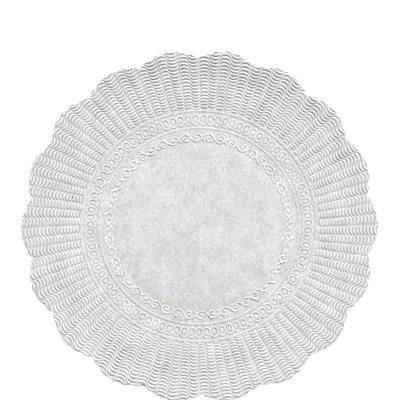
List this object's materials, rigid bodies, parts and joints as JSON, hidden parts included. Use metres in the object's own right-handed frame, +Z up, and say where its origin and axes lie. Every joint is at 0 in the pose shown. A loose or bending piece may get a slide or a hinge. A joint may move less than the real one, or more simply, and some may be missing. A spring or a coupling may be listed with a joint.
{
  "type": "paper doily",
  "caption": "Round white paper doily with a scalloped die-cut edge, embossed wavy ribs, rope rings, a ring of ovals and a running scroll around a plain centre.",
  "frame": {"origin": "on the table, under the middle of the sheet", "axes": "+Z up out of the table through the pressed face, +Y towards the top of the pattern as pictured, +X to its right"},
  "size_m": [0.2032, 0.1984, 0.0015],
  "materials": {
    "paper": "matt uncoated tissue with pressed relief"
  },
  "bodies": {
    "root": {"doily": "paper"}
  },
  "joints": []
}
